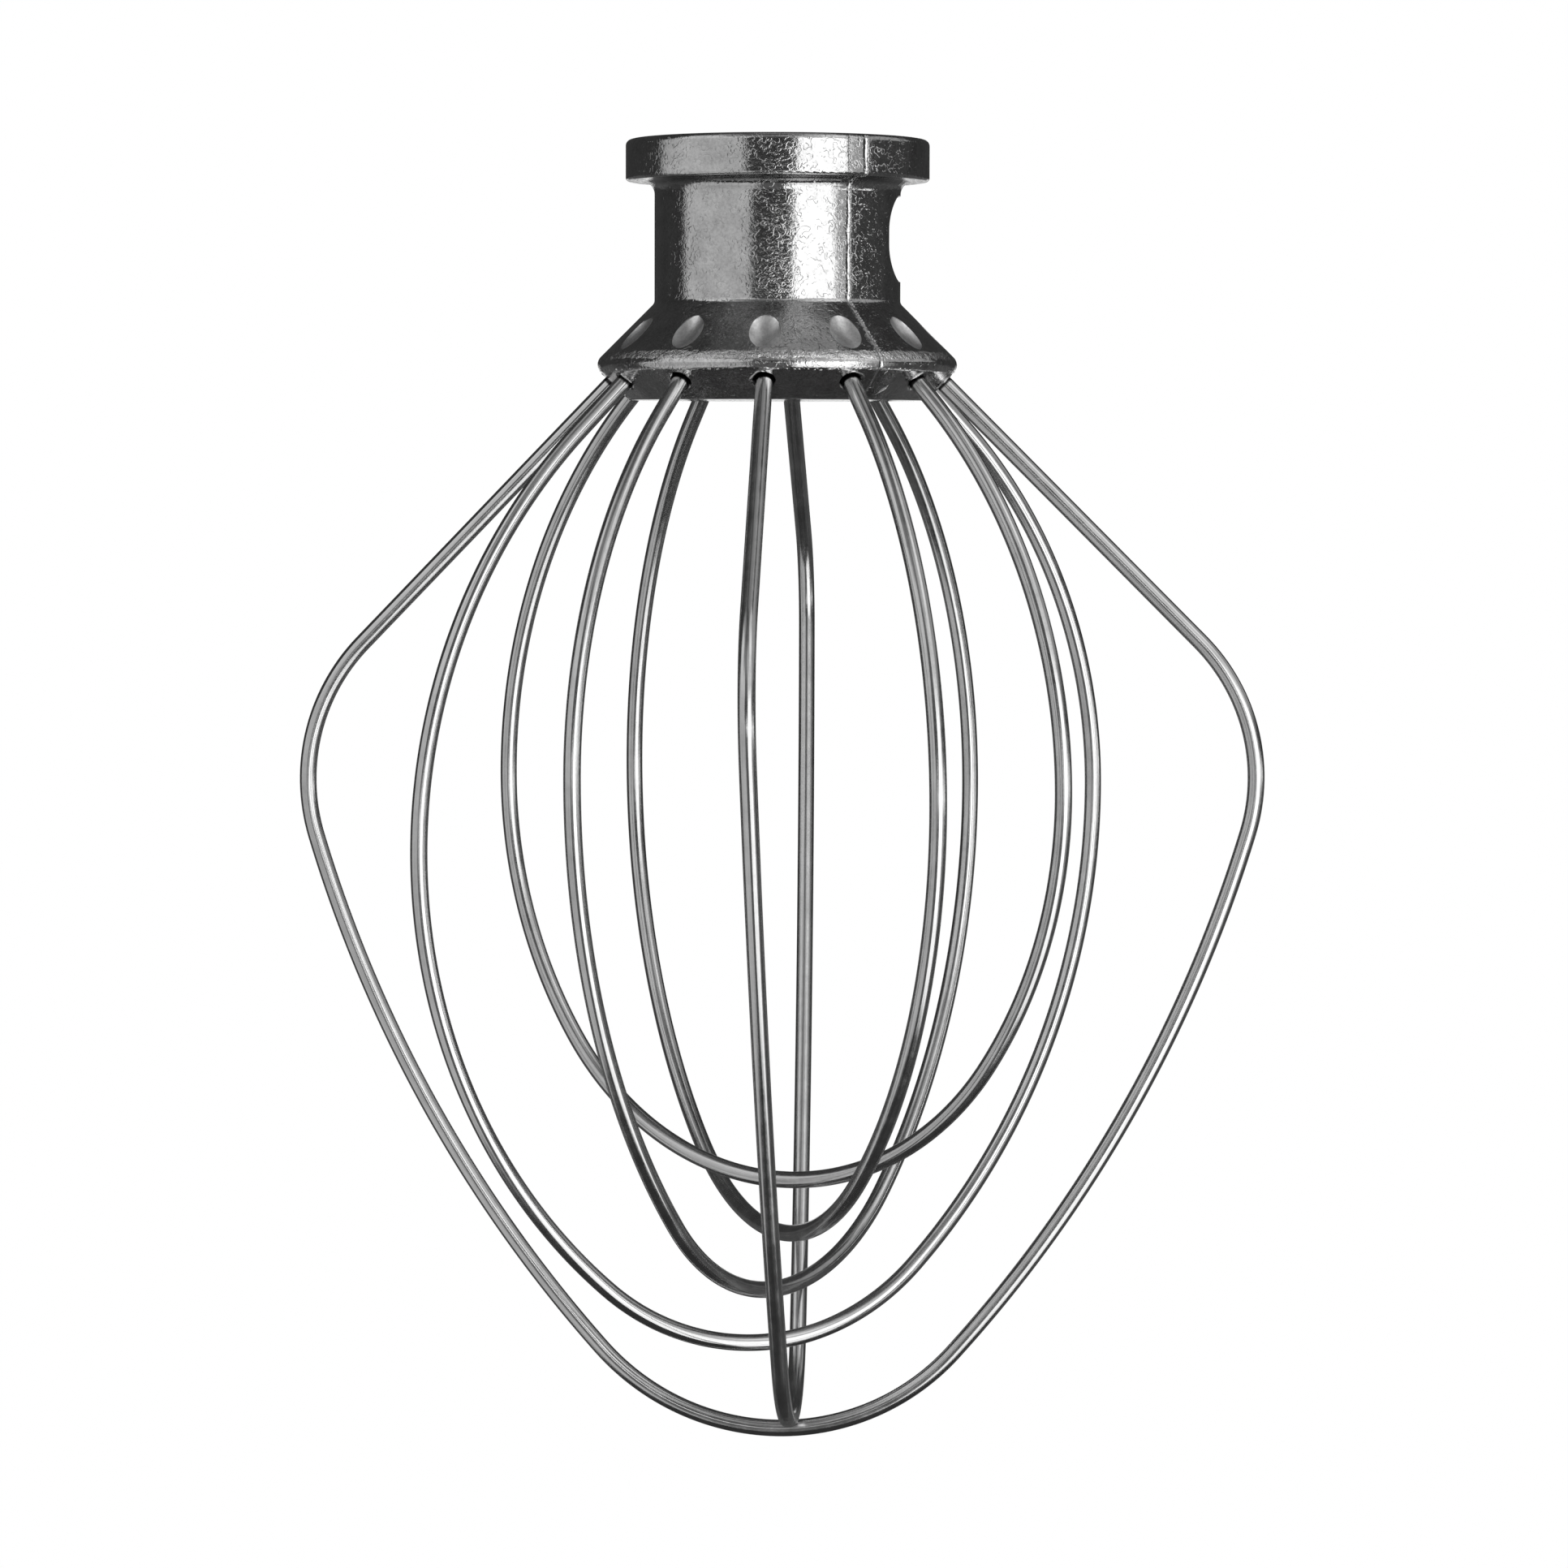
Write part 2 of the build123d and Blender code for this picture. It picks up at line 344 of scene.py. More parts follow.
@dataclass(frozen=True)
class CastMetal:
    """Bright as-cast metal: fine grain and short wormy grooves, smooth in the punch marks.

    Feature sizes and heights are in millimetres. The grooves follow the middle contour of a noise
    and are broken up by a second one. Painted shade darkens a thin band in the corner below the
    collar. The skirt's brink above the rim is worn round, with a ragged border. The mould's parting
    seam runs down both sides.
    """

    tone: Pair = (0.55, 0.70)
    rough: Pair = (0.06, 0.13)
    grain: Mottle = Mottle(0.34, 3.0, 0.6)
    grain_height: float = 0.018
    grain_span: Pair = (0.35, 0.6)
    grain_tone: float = 0.82
    ripple: Mottle = Mottle(2.6, 2.0, 0.5)
    ripple_height: float = 0.030
    worm: Mottle = Mottle(0.66, 1.0, 0.4)
    worm_width: float = 0.055
    worm_height: float = 0.014
    worm_tone: float = 0.8
    worm_patch: Mottle = Mottle(1.1, 2.0, 0.5)
    patch_span: Pair = (0.42, 0.56)
    marks: int = 12
    mark_place: Pair = (18.159, -22.809)
    mark_reach: Pair = (1.9, 2.7)
    mark_edge: Pair = (0.85, 1.05)
    mark_rough: float = 0.38
    mark_grain: float = 0.8
    mark_tone: float = 1.38
    # Painted shade: the tone is darkened in this band of levels just below the collar, fading out
    # above and below.
    corner: Pair = (-5.15, -4.95)
    corner_shade_fade: Pair = (0.5, 0.1)
    corner_shade_tone: float = 0.45
    brink: Pair = (-25.0, -25.85)
    brink_height: float = 0.40
    brink_ragged: float = 0.5
    ragged: Mottle = Mottle(1.3, 4.0, 0.7)
    seam_angle: float = -51.3
    seam_width: float = 0.28
    seam_depth: float = 0.085
    seam_waver: float = 0.6
    seam_course: Mottle = Mottle(1.6, 2.0, 0.6)

    def worms(self, board: NodeBoard) -> Socket:
        """The grooves' depth, from 0 on the skin to 1 at the bottom of a groove.

        depth = (1 - |n - 0.5| / width) within the width, where a coarser noise lets it show

        Args:
            board: The material's nodes.

        Returns:
            The depth output.
        """
        winding = self.worm.on(board)
        aside = board.math("ABSOLUTE", board.math("SUBTRACT", winding, 0.5))
        groove = board.spread(aside, 0.0, self.worm_width, (1.0, 0.0))
        patches = board.spread(self.worm_patch.on(board), *self.patch_span, (0.0, 1.0))
        return board.math("MULTIPLY", groove, patches)

    def punched(self, board: NodeBoard) -> Socket:
        """Where the skin lies in a punch mark, from 0 outside to 1 inside.

        Each mark is an ellipse on the skirt: (t / half width)^2 + (s / half length)^2 < 1, with t
        the way round from the nearest of the evenly spaced marks and s the way down the slope.
        Nothing below the skirt's brink counts.

        Args:
            board: The material's nodes.

        Returns:
            The mask output.
        """
        east, north, level = board.split(board.place)
        far = board.math("SQRT", board.squares(east, north))
        turn = board.math("ARCTAN2", north, east)
        places = board.math("MULTIPLY", turn, self.marks / (2.0 * math.pi))
        beside = board.math("SUBTRACT", places, board.math("ROUND", places))
        pitch = 2.0 * math.pi * self.mark_place[0] / self.marks
        turned = board.math("MULTIPLY", beside, pitch / self.mark_reach[0])
        slant = DIAGONAL / (self.mark_reach[1] * MM)
        down = board.math("SUBTRACT", far, level)
        middle = (self.mark_place[0] - self.mark_place[1]) * MM
        along = board.math("MULTIPLY", board.math("SUBTRACT", down, middle), slant)
        inside = board.spread(board.squares(turned, along), *self.mark_edge, (1.0, 0.0))
        upper = board.spread(level, self.brink[1] * MM, self.brink[0] * MM, (0.0, 1.0))
        return board.math("MULTIPLY", inside, upper)

    def painted_corner_shade(self, board: NodeBoard) -> Socket:
        """The tone's share left by the painted shade in the corner below the collar, and 1 elsewhere.

        Args:
            board: The material's nodes.

        Returns:
            The share output.
        """
        level = board.split(board.place)[2]
        low, high = (edge * MM for edge in self.corner)
        above = board.spread(level, low - self.corner_shade_fade[0] * MM, low, (0.0, 1.0))
        below = board.spread(level, high, high + self.corner_shade_fade[1] * MM, (1.0, 0.0))
        depth = board.math("MULTIPLY", above, below)
        return board.spread(depth, 0.0, 1.0, (1.0, self.corner_shade_tone))

    def worn(self, board: NodeBoard) -> Socket:
        """How far the skirt's brink is worn down, from 0 above its ragged border to 1 at the rim.

        Args:
            board: The material's nodes.

        Returns:
            The wear output.
        """
        aside = board.math("SUBTRACT", self.ragged.on(board), 0.5)
        shift = board.math("MULTIPLY", aside, 2.0 * self.brink_ragged * MM)
        level = board.math("ADD", board.split(board.place)[2], shift)
        return board.spread(level, self.brink[0] * MM, self.brink[1] * MM, (0.0, 1.0))

    def seam(self, board: NodeBoard) -> Socket:
        """The depth of the mould's parting seam, from 0 beside it to 1 along its line.

        The seam lies in a plane through the axis, |x sin a - y cos a| away, and wavers a little.

        Args:
            board: The material's nodes.

        Returns:
            The depth output.
        """
        angle = math.radians(self.seam_angle)
        plane = board.add("ShaderNodeVectorMath", operation="DOT_PRODUCT")
        plane.inputs[1].default_value = (math.sin(angle), -math.cos(angle), 0.0)
        board.join(board.place, plane.inputs[0])
        course = board.math("SUBTRACT", self.seam_course.on(board), 0.5)
        waver = board.math("MULTIPLY", course, self.seam_waver * MM)
        aside = board.math("ABSOLUTE", board.math("ADD", plane.outputs["Value"], waver))
        return board.spread(aside, 0.0, self.seam_width * MM, (1.0, 0.0))

    def material(self, name: str) -> Material:
        """The finish as a node material.

        Args:
            name: Name of the material.

        Returns:
            The material.
        """
        board = NodeBoard(name)
        grain = self.grain.on(board)
        ripple = self.ripple.on(board)
        marks = self.punched(board)
        rest = board.math("SUBTRACT", 1.0, marks)
        worms = board.math("MULTIPLY", self.worms(board), rest)
        tone = board.spread(ripple, *NOISE_SPAN, self.tone)
        dulled = board.scale(tone, worms, 0.0, 1.0, (1.0, self.worm_tone))
        grainy = board.scale(dulled, grain, *self.grain_span, (self.grain_tone, 1.0))
        burnished = board.scale(grainy, marks, 0.0, 1.0, (1.0, self.mark_tone))
        # Painted shade darkens the corner below the collar.
        shaded = board.math("MULTIPLY", burnished, self.painted_corner_shade(board))
        skin_rough = board.spread(grain, *NOISE_SPAN, self.rough)
        rough = board.math("MAXIMUM", skin_rough, board.math("MULTIPLY", marks, self.mark_rough))
        unworn = board.math("SUBTRACT", 1.0, self.worn(board))
        edge = board.bump(unworn, self.brink_height * MM)
        slow = board.bump(ripple, self.ripple_height * MM, edge)
        grains = board.scale(grain, marks, 0.0, 1.0, (1.0, self.mark_grain))
        fine = board.bump(grains, self.grain_height * MM, slow)
        wormy = board.bump(board.math("SUBTRACT", 1.0, worms), self.worm_height * MM, fine)
        beside = board.math("SUBTRACT", 1.0, self.seam(board))
        skin = board.bump(beside, self.seam_depth * MM, wormy)
        shader = board.add("ShaderNodeBsdfPrincipled", Metallic=1.0)
        board.join(board.grey(shaded), shader.inputs["Base Color"])
        board.join(rough, shader.inputs["Roughness"])
        board.join(skin, shader.inputs["Normal"])
        return board.finish(shader)


@dataclass(frozen=True)
class DrawnWire:
    """Bright drawn stainless wire: faint lines of the die along it, and painted shade darkening it
    at its socket's mouth.

    The piece's UV map runs along the wire in girths (U) and once round it (V), and its attribute
    reach is the way out from the nearer socket's mouth in millimetres.
    """

    tone: Pair = (0.60, 0.74)
    rough: Pair = (0.13, 0.20)
    stretch: float = 0.8
    lines: float = 7.0
    line_octaves: float = 3.0
    line_share: float = 0.6
    line_run: float = 0.12
    line_height: float = 0.0007
    line_tone: float = 0.86
    scuff: Mottle = Mottle(3.0, 5.0, 0.7)
    scuff_span: Pair = (0.35, 0.65)
    # Painted shade near the socket's mouth: the span of reach over which the tone falls, and the tone
    # at the mouth.
    mouth: Pair = (0.30, 0.50)
    mouth_shade_tone: float = 0.05

    def material(self, name: str) -> Material:
        """The finish as a node material.

        Args:
            name: Name of the material.

        Returns:
            The material.
        """
        board = NodeBoard(name)
        uv = board.add("ShaderNodeUVMap", uv_map="wire").outputs[0]
        along, around, _ = board.split(uv)
        turn = board.math("MULTIPLY", around, 2.0 * math.pi)
        skin = board.add("ShaderNodeCombineXYZ")
        board.join(board.math("COSINE", turn), skin.inputs["X"])
        board.join(board.math("SINE", turn), skin.inputs["Y"])
        board.join(board.math("MULTIPLY", along, self.line_run), skin.inputs["Z"])
        lines = board.noise(skin.outputs[0], self.lines, self.line_octaves, self.line_share)
        scuffs = self.scuff.on(board)
        worn = board.spread(scuffs, *NOISE_SPAN, self.tone)
        lined = board.scale(worn, lines, *NOISE_SPAN, (self.line_tone, 1.0))
        reach = board.add("ShaderNodeAttribute", attribute_name="reach").outputs["Fac"]
        # Painted shade: the wire goes dark just outside its socket's mouth.
        tone = board.scale(lined, reach, *self.mouth, (self.mouth_shade_tone, 1.0))
        rough = board.spread(scuffs, *self.scuff_span, self.rough)
        shader = board.add("ShaderNodeBsdfPrincipled", Metallic=1.0, Anisotropic=self.stretch)
        board.join(board.grey(tone), shader.inputs["Base Color"])
        board.join(rough, shader.inputs["Roughness"])
        board.join(board.bump(lines, self.line_height * MM), shader.inputs["Normal"])
        tangent = board.add("ShaderNodeTangent", direction_type="UV_MAP", uv_map="wire")
        board.join(tangent.outputs[0], shader.inputs["Tangent"])
        return board.finish(shader)


@dataclass(frozen=True)
class StageTone:
    """A plain matt stage colour, with a share of its own light."""

    tone: float
    glow: float = 0.0

    def material(self, name: str) -> Material:
        """The finish as a node material.

        Args:
            name: Name of the material.

        Returns:
            The material.
        """
        board = NodeBoard(name)
        shader = board.add("ShaderNodeBsdfPrincipled", Roughness=1.0, Specular_IOR_Level=0.0)
        shader.inputs["Base Color"].default_value = (self.tone, self.tone, self.tone, 1.0)
        shader.inputs["Emission Color"].default_value = (1.0, 1.0, 1.0, 1.0)
        shader.inputs["Emission Strength"].default_value = self.glow
        return board.finish(shader)


@dataclass
class Hub:
    """The cast hub's outline, from the collar down to its rim, and the marks of its casting.

    rounds are the radii of the outline's corners, from the collar's top down. Each parting ridge
    is an angle from +X in degrees, and where it starts and stops along the outline. Strands of
    flash run down the end face at the angles in strands. A swell is a share's middle, spread,
    least and most value. Ranges of random draws are low and high.
    """

    # Whole counts of waves round the hub
    RIDGE_COURSE = (3, 7, 13, 29, 61, 97)
    RIDGE_WAVES = (5, 11, 23, 47, 89)
    FLASH_COARSE = (7, 13, 19, 31, 43)
    FLASH_FINE = (67, 89, 113, 151, 211)
    FLASH_SAG = (59, 97, 131, 173)
    FLASH_WAVES = (23, 37, 71, 103, 163)

    slope: float = 45.0
    collar_radius: float = 17.9
    collar_height: float = 4.85
    neck_radius: float = 14.5
    neck_foot: float = -19.15
    rim_radius: float = 21.2
    skirt_foot: float = -25.85
    rim_land: float = 1.05
    end_face: float = 5.18
    sockets: int = 12
    mouth_outset: float = 0.40
    wire_radius: float = 1.0
    top_land: float = 2.0
    rounds: tuple[float, ...] = (0.7, 0.4, 1.5, 0.8, 1.2)
    round_points: int = 9
    bead_sides: int = 8
    ridges: tuple[tuple[float, float, float], ...] = (
        (-49.9, 1.8, 99.0),
        (130.1, 1.8, 99.0),
        (-58.3, 1.8, 6.4),
    )
    ridge_width: float = 0.34
    ridge_height: float = 0.15
    ridge_waver: float = 0.0022
    ridge_swell: tuple[float, ...] = (0.75, 0.35, 0.25, 1.4)
    ridge_taper: float = 0.6
    ridge_end: float = 0.2
    ridge_points: int = 420
    ridge_sides: int = 10
    ridge_seeds: tuple[int, int] = (31, 5)
    flash_height: float = 0.16
    flash_inset: float = 0.38
    flash_drop: float = 0.16
    flash_stray: float = 0.05
    flash_sag: float = 0.07
    flash_swell: tuple[float, ...] = (0.8, 0.4, 0.2, 1.6)
    flash_points: int = 1440
    flash_seed: int = 11
    lip_height: float = 0.17
    lip_start: Pair = (-0.6, 2.4)
    lip_swing: Pair = (1.6, 3.0)
    lip_stand: Pair = (0.30, 0.62)
    lip_ripple: float = 0.06
    lip_waves: float = 5.0
    lip_points: int = 40
    lip_seed: int = 21
    strands: tuple[float, ...] = (-46.5, 101.0)
    strand_height: float = 0.16
    strand_start: float = 0.5
    strand_margin: float = 1.2
    strand_swing: float = 0.035
    strand_bends: float = 2.2
    strand_phase: float = 3.0
    strand_drift: float = 0.03
    strand_points: int = 60

    @property
    def land_foot(self) -> float:
        """Level of the rim's lower edge."""
        return self.skirt_foot - self.rim_land

    @property
    def mouth(self) -> Pair:
        """Radius and level of the sockets' mouths, on the middle of the end face."""
        back = (self.end_face / 2.0 - self.mouth_outset) * math.cos(math.radians(self.slope))
        return self.rim_radius - back, self.land_foot - back

    def outline(self) -> np.ndarray:
        """The collar's side, the neck and the skirt as a run of points.

        Each corner is rounded by a circle that touches both its lines: it starts and ends
        radius tan(turn / 2) from the corner, and its middle lies radius / cos(turn / 2) away.

        Returns:
            Radius and level, n by 2, in millimetres.
        """
        corners = np.array(
            [
                (self.collar_radius - self.top_land, 0.0),
                (self.collar_radius, 0.0),
                (self.collar_radius, -self.collar_height),
                (self.neck_radius, -self.collar_height),
                (self.neck_radius, self.neck_foot),
                (self.rim_radius, self.skirt_foot),
                (self.rim_radius, self.land_foot),
            ]
        )
        rounds = np.array(self.rounds)
        before = corners[:-2] - corners[1:-1]
        after = corners[2:] - corners[1:-1]
        before /= np.linalg.norm(before, axis=1)[:, None]
        after /= np.linalg.norm(after, axis=1)[:, None]
        half = np.arccos(np.clip((before * after).sum(axis=1), -1.0, 1.0)) / 2.0
        inward = before + after
        inward /= np.linalg.norm(inward, axis=1)[:, None]
        middle = corners[1:-1] + inward * (rounds / np.sin(half))[:, None]
        start = corners[1:-1] + before * (rounds / np.tan(half))[:, None] - middle
        end = corners[1:-1] + after * (rounds / np.tan(half))[:, None] - middle
        share = np.linspace(0.0, 1.0, self.round_points)[None, :, None]
        sweep = (np.pi - 2.0 * half)[:, None, None]
        leaving = np.sin((1.0 - share) * sweep) * start[:, None]
        coming = np.sin(share * sweep) * end[:, None]
        arc = (leaving + coming) / np.sin(sweep)
        bent = (middle[:, None] + arc).reshape(-1, 2)
        return np.vstack([corners[:1], bent, corners[-1:]])

    def ridge(self, azimuth: float, start: float, stop: float, seed: int) -> Shape:
        """A thin parting ridge down the outline.

        It is a low round bead: half its width across the outline's plane and its height along the
        outline's normal, with both wavering slowly along its length.

        Args:
            azimuth: Angle from +X in degrees.
            start: Where it starts along the outline.
            stop: Where it stops, or beyond the outline's end.
            seed: Seed of the waver.

        Returns:
            Points in metres and faces.
        """
        outline = self.outline()
        steps = np.linalg.norm(np.diff(outline, axis=0), axis=1)
        length = np.concatenate([[0.0], np.cumsum(steps)])
        at = np.linspace(start, min(stop, length[-1] - self.ridge_end), self.ridge_points)
        run = np.stack([np.interp(at, length, part) for part in outline.T], axis=1)
        course = np.gradient(run, axis=0)
        course /= np.linalg.norm(course, axis=1)[:, None]
        turn = at / length[-1] * 2.0 * np.pi
        waver = wave_noise(turn, self.RIDGE_COURSE, seed)
        thick = swelling(wave_noise(turn, self.RIDGE_WAVES, seed + 1), *self.ridge_swell)
        from_end = np.minimum(at - at[0], at[-1] - at)
        thick *= np.sqrt(np.clip(from_end / self.ridge_taper, 0.0, 1.0))
        angle = math.radians(azimuth) + waver * self.ridge_waver
        centre = polar(angle, run[:, 0], run[:, 1])
        across = self.ridge_width / 2.0 * polar(angle + np.pi / 2.0)
        upward = self.ridge_height * polar(angle, -course[:, 1], course[:, 0])
        points = tube_points(centre, across, upward, thick, self.ridge_sides)
        faces = grid_faces(len(at), self.ridge_sides, closed=False).tolist()
        return points.reshape(-1, 3) * MM, faces

    def flash(self) -> Shape:
        """The ragged flash round the rim's lower edge.

        A bead is carried round the edge, and its radius, level and thickness waver with the angle.

        Returns:
            Points in metres and faces.
        """
        angle = 2.0 * np.pi * np.arange(self.flash_points) / self.flash_points
        counts = (self.FLASH_COARSE, self.FLASH_FINE, self.FLASH_SAG, self.FLASH_WAVES)
        noises = [wave_noise(angle, waves, self.flash_seed + k) for k, waves in enumerate(counts)]
        coarse, fine, sag, swell = noises
        radius = self.rim_radius - self.flash_inset + self.flash_stray * (coarse + fine)
        level = self.land_foot - self.flash_drop + self.flash_sag * coarse + self.flash_stray * sag
        thick = self.flash_height * swelling(swell, *self.flash_swell)
        upward = polar(angle, 0.0, 1.0)
        centre = polar(angle, radius, level)
        points = tube_points(centre, polar(angle), upward, thick, self.bead_sides)
        quads = grid_faces(len(angle), self.bead_sides, closed=True)[:, ::-1]
        return points.reshape(-1, 3) * MM, quads.tolist()

    def lips(self) -> Shape:
        """Crescents of metal pushed up beside the wires where they leave the end face.

        Each is a bead on an arc about the socket's axis, tapered to nothing at both ends.

        Returns:
            Points in metres and faces.
        """
        steps, sides = self.lip_points, self.bead_sides
        chance = np.random.default_rng(self.lip_seed)
        place = 2.0 * np.pi * np.arange(self.sockets)[:, None] / self.sockets
        share = np.linspace(0.0, 1.0, steps)[None, :]
        start = chance.uniform(*self.lip_start, (self.sockets, 1))
        swing = chance.uniform(*self.lip_swing, (self.sockets, 1))
        wide = self.wire_radius + chance.uniform(*self.lip_stand, (self.sockets, 1))
        turn = start + swing * share
        sine, cosine = math.sin(math.radians(self.slope)), math.cos(math.radians(self.slope))
        beside = polar(place + np.pi / 2.0)
        facing = polar(place, sine, -cosine)
        inward = np.cross(facing, beside)
        middle = polar(place, *self.mouth)
        spoke = np.cos(turn)[..., None] * beside + np.sin(turn)[..., None] * inward
        ripple = self.lip_ripple * np.sin(self.lip_waves * turn + place)
        reach = wide[..., None] * (1.0 + ripple[..., None])
        centre = middle + reach * spoke
        taper = np.sqrt(np.clip(np.sin(np.pi * share), 0.0, 1.0))
        thick = np.broadcast_to(self.lip_height * taper, turn.shape)
        across = np.broadcast_to(facing, centre.shape)
        frames = (part.reshape(-1, 3) for part in (centre, spoke, across))
        points = tube_points(*frames, thick.reshape(-1), sides)
        quads = grid_faces(steps, sides, closed=False)[:, ::-1]
        shifts = np.arange(self.sockets)[:, None, None] * steps * sides
        return points.reshape(-1, 3) * MM, (quads[None] + shifts).reshape(-1, 4).tolist()

    def strand(self) -> Shape:
        """Thin strands of flash that wander down the end face from the rim.

        Each is a bead along the face's slope: its angle swings by a slow sine on the way, and its
        thickness tapers to nothing at both ends.

        Returns:
            Points in metres and faces.
        """
        steps, sides = self.strand_points, self.bead_sides
        share = np.linspace(0.0, 1.0, steps)[None, :]
        place = np.radians(np.array(self.strands))[:, None]
        bend = np.sin(self.strand_bends * np.pi * share + self.strand_phase * place)
        azimuth = place + (self.strand_swing * bend + self.strand_drift * share)
        down = self.strand_start + share * (self.end_face - self.strand_margin)
        back = down * math.cos(math.radians(self.slope))
        radius, level = self.rim_radius - back, self.land_foot - back
        centre = polar(azimuth, radius, level)
        beside = polar(azimuth + np.pi / 2.0)
        facing = polar(azimuth, DIAGONAL, -DIAGONAL)
        taper = np.sqrt(np.clip(np.sin(np.pi * share), 0.0, 1.0))
        thick = np.broadcast_to(self.strand_height * taper, azimuth.shape)
        frames = (part.reshape(-1, 3) for part in (centre, beside, facing))
        points = tube_points(*frames, thick.reshape(-1), sides)
        quads = grid_faces(steps, sides, closed=False)
        shifts = np.arange(len(self.strands))[:, None, None] * steps * sides
        return points.reshape(-1, 3) * MM, (quads[None] + shifts).reshape(-1, 4).tolist()

    def build(self, metal: Material) -> list[Piece]:
        """Builds the casting marks.

        Args:
            metal: The cast finish.

        Returns:
            The new pieces.
        """
        first, step = self.ridge_seeds
        pieces = [
            add_piece(f"parting_ridge_{k}", *self.ridge(*ridge, first + step * k), metal, tapered=True)
            for k, ridge in enumerate(self.ridges, start=1)
        ]
        pieces.append(add_piece("rim_flash", *self.flash(), metal))
        pieces.append(add_piece("face_strands", *self.strand(), metal, tapered=True))
        pieces.append(add_piece("socket_lips", *self.lips(), metal, tapered=True))
        return pieces

    def dress(self, node: Piece, pieces: list[Piece], metal: Material) -> None:
        """Gives the casting its finish and seats its marks on it.

        Args:
            node: The hub's solid.
            pieces: The casting marks.
            metal: The cast finish.
        """
        for slot in node.material_slots:
            slot.material = metal
        for piece in pieces:
            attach(piece, "root")


